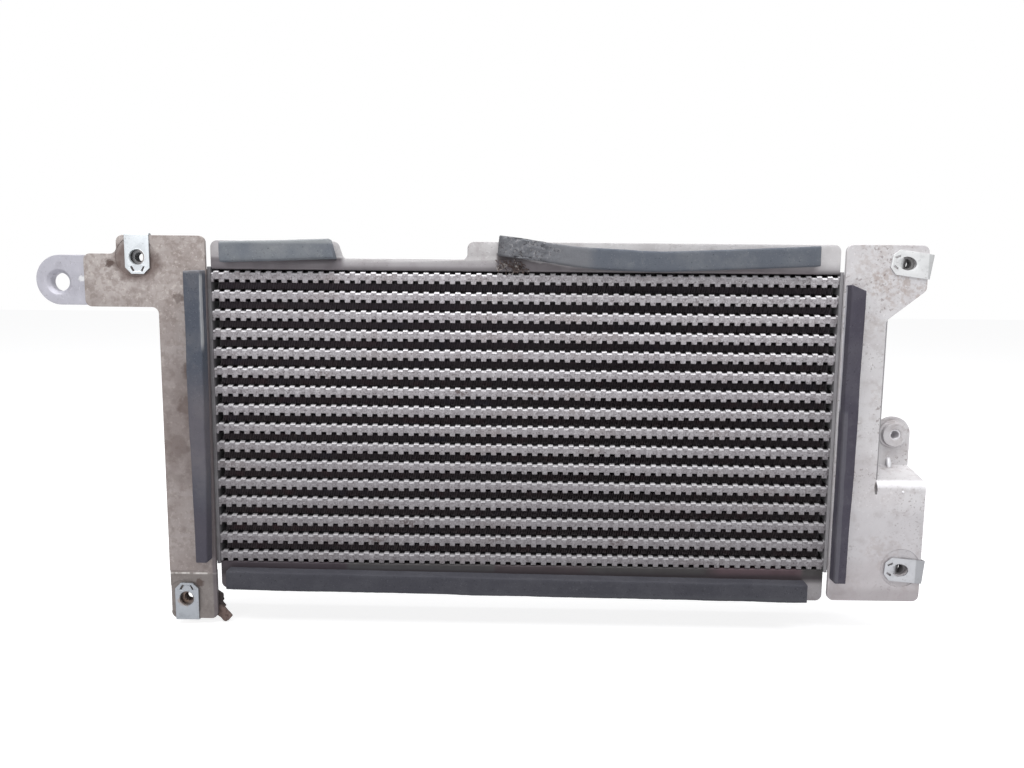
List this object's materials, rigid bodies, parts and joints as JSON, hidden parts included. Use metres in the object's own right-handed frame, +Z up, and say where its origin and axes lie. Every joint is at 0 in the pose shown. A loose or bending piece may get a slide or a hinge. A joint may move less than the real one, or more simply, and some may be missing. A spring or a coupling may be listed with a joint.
{
  "type": "fuel cooler",
  "caption": "Flat air-cooled fuel cooler: toothed flat tubes between two header tanks, sheet brackets with clip nuts, foam sealing strips and two rear fuel pipes.",
  "frame": {"origin": "centre of the hole in the left mounting ear, at the end of the collar behind it", "axes": "+X along the tubes towards the right bracket, +Y through the core to the rear, +Z up"},
  "size_m": [0.541, 0.0705, 0.2396],
  "materials": {
    "tube_aluminium": "bright raw aluminium, scuffed and dusty",
    "fin_aluminium": "dark, dirt-filled folded fin",
    "tank_aluminium": "dull grey brazed aluminium",
    "plate_aluminium": "grey brazed aluminium sheet",
    "left_bracket_aluminium": "brown-stained aluminium sheet",
    "ear_aluminium": "cool grey aluminium",
    "right_bracket_aluminium": "pale grey aluminium with brown stains",
    "nut_zinc": "bright zinc-plated spring steel",
    "pipe_aluminium": "drawn aluminium",
    "side_foam": "closed-cell foam, dusty black-blue",
    "top_foam": "aged foam, worn and pitted grey",
    "bottom_foam": "dark foam"
  },
  "bodies": {
    "root": {"tube_01": "tube_aluminium", "tube_02": "tube_aluminium", "tube_03": "tube_aluminium", "tube_04": "tube_aluminium", "tube_05": "tube_aluminium", "tube_06": "tube_aluminium", "tube_07": "tube_aluminium", "tube_08": "tube_aluminium", "tube_09": "tube_aluminium", "tube_10": "tube_aluminium", "tube_11": "tube_aluminium", "tube_12": "tube_aluminium", "tube_13": "tube_aluminium", "tube_14": "tube_aluminium", "tube_15": "tube_aluminium", "tube_16": "tube_aluminium", "air_fin_01": "fin_aluminium", "air_fin_02": "fin_aluminium", "air_fin_03": "fin_aluminium", "air_fin_04": "fin_aluminium", "air_fin_05": "fin_aluminium", "air_fin_06": "fin_aluminium", "air_fin_07": "fin_aluminium", "air_fin_08": "fin_aluminium", "air_fin_09": "fin_aluminium", "air_fin_10": "fin_aluminium", "air_fin_11": "fin_aluminium", "air_fin_12": "fin_aluminium", "air_fin_13": "fin_aluminium", "air_fin_14": "fin_aluminium", "air_fin_15": "fin_aluminium", "left_header_plate": "tank_aluminium", "left_tank": "tank_aluminium", "left_tank_top_cap": "tank_aluminium", "left_tank_bottom_cap": "tank_aluminium", "right_header_plate": "tank_aluminium", "right_tank": "tank_aluminium", "right_tank_top_cap": "tank_aluminium", "right_tank_bottom_cap": "tank_aluminium", "top_side_plate": "plate_aluminium", "bottom_side_plate": "plate_aluminium", "left_bracket": "left_bracket_aluminium", "left_ear": "ear_aluminium", "right_bracket": "right_bracket_aluminium", "rear_ear_nut": "right_bracket_aluminium", "inlet_pipe": "pipe_aluminium", "outlet_pipe": "pipe_aluminium", "left_foam_strip": "side_foam", "right_foam_strip": "side_foam", "top_left_foam_strip": "top_foam", "top_right_foam_strip": "top_foam", "bottom_foam_strip": "bottom_foam", "top_left_clip_nut": "nut_zinc", "bottom_left_clip_nut": "nut_zinc", "top_right_clip_nut": "nut_zinc", "bottom_right_clip_nut": "nut_zinc"}
  },
  "joints": []
}
